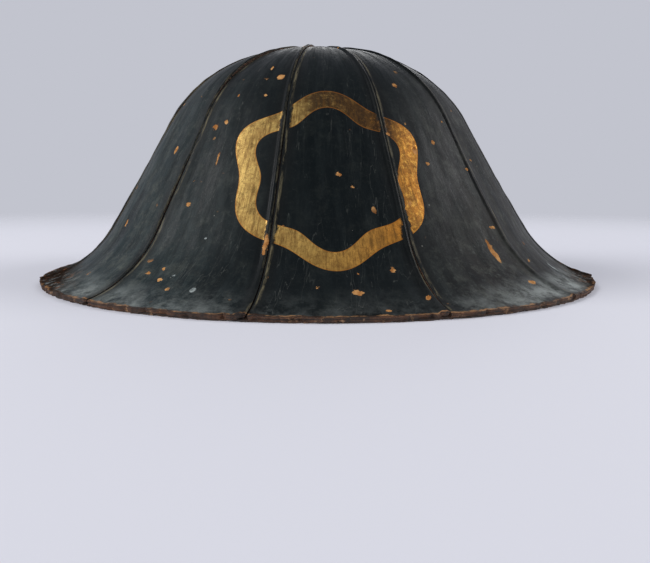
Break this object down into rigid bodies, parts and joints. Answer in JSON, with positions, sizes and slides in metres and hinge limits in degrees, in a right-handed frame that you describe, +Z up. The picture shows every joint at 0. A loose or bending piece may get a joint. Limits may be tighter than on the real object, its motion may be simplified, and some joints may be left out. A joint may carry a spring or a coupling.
{
  "type": "firefighter helmet",
  "caption": "Bell-shaped fireman's helmet of lacquered leather gores with raised seams, a flared brim, a quilted liner, a padded head roll and swinging chin-cord rings.",
  "frame": {"origin": "centre of the ring that the rim stands on", "axes": "+Z up through the crown, front gore towards -Y, +X to the right as seen from the front"},
  "size_m": [0.36, 0.36, 0.1515],
  "materials": {
    "lacquered_leather": "black-green lacquer over rawhide, satin, worn, with a gilt ornament painted on the front",
    "seam_leather": "dark oiled leather",
    "rim_leather": "raw worn leather edge",
    "band_leather": "brown leather, matt",
    "liner_cloth": "quilted indigo hemp",
    "roll_cloth": "indigo hemp roll, stuffed",
    "pad_cloth": "indigo hemp cushion",
    "black_iron": "blackened iron",
    "brass": "dull brass",
    "ring_iron": "forged iron, browned"
  },
  "bodies": {
    "helmet": {"gore_01": "lacquered_leather", "gore_02": "lacquered_leather", "gore_03": "lacquered_leather", "gore_04": "lacquered_leather", "gore_05": "lacquered_leather", "gore_06": "lacquered_leather", "gore_07": "lacquered_leather", "gore_08": "lacquered_leather", "gore_09": "lacquered_leather", "gore_10": "lacquered_leather", "gore_11": "lacquered_leather", "gore_12": "lacquered_leather", "seam_strip_01": "seam_leather", "seam_strip_02": "seam_leather", "seam_strip_03": "seam_leather", "seam_strip_04": "seam_leather", "seam_strip_05": "seam_leather", "seam_strip_06": "seam_leather", "seam_strip_07": "seam_leather", "seam_strip_08": "seam_leather", "seam_strip_09": "seam_leather", "seam_strip_10": "seam_leather", "seam_strip_11": "seam_leather", "seam_strip_12": "seam_leather", "crown_disc": "seam_leather", "rim_strip_1": "rim_leather", "rim_strip_2": "rim_leather", "rim_strip_3": "rim_leather", "rim_strip_4": "rim_leather", "rim_strip_5": "rim_leather", "rim_strip_6": "rim_leather", "liner_band": "band_leather", "roll_strap_1": "band_leather", "roll_strap_2": "band_leather", "roll_strap_3": "band_leather", "roll_strap_4": "band_leather", "roll_strap_5": "band_leather", "roll_strap_6": "band_leather", "liner": "liner_cloth", "head_roll": "roll_cloth", "crown_pad": "pad_cloth", "crown_cap": "black_iron", "crown_rivet": "black_iron", "crown_burr": "black_iron", "liner_rivets": "brass", "ring_rosette_front_right": "ring_iron", "ring_rosette_rear_right": "ring_iron", "ring_rosette_rear_left": "ring_iron", "ring_rosette_front_left": "ring_iron", "ring_pin_front_right": "ring_iron", "ring_pin_rear_right": "ring_iron", "ring_pin_rear_left": "ring_iron", "ring_pin_front_left": "ring_iron"},
    "front_right_ring": {"cord_ring_front_right": "ring_iron"},
    "rear_right_ring": {"cord_ring_rear_right": "ring_iron"},
    "rear_left_ring": {"cord_ring_rear_left": "ring_iron"},
    "front_left_ring": {"cord_ring_front_left": "ring_iron"}
  },
  "joints": [
    {"name": "front_right_ring_swing", "type": "hinge", "parent": "helmet", "child": "front_right_ring", "pos_m": [0.10957, -0.06326, 0.03552], "axis": [0.5, 0.866, 0], "range_deg": [-40, 108]},
    {"name": "rear_right_ring_swing", "type": "hinge", "parent": "helmet", "child": "rear_right_ring", "pos_m": [0.10957, 0.06326, 0.03552], "axis": [-0.5, 0.866, 0], "range_deg": [-40, 108]},
    {"name": "rear_left_ring_swing", "type": "hinge", "parent": "helmet", "child": "rear_left_ring", "pos_m": [-0.10957, 0.06326, 0.03552], "axis": [-0.5, -0.866, 0], "range_deg": [-40, 108]},
    {"name": "front_left_ring_swing", "type": "hinge", "parent": "helmet", "child": "front_left_ring", "pos_m": [-0.10957, -0.06326, 0.03552], "axis": [0.5, -0.866, 0], "range_deg": [-40, 108]}
  ]
}
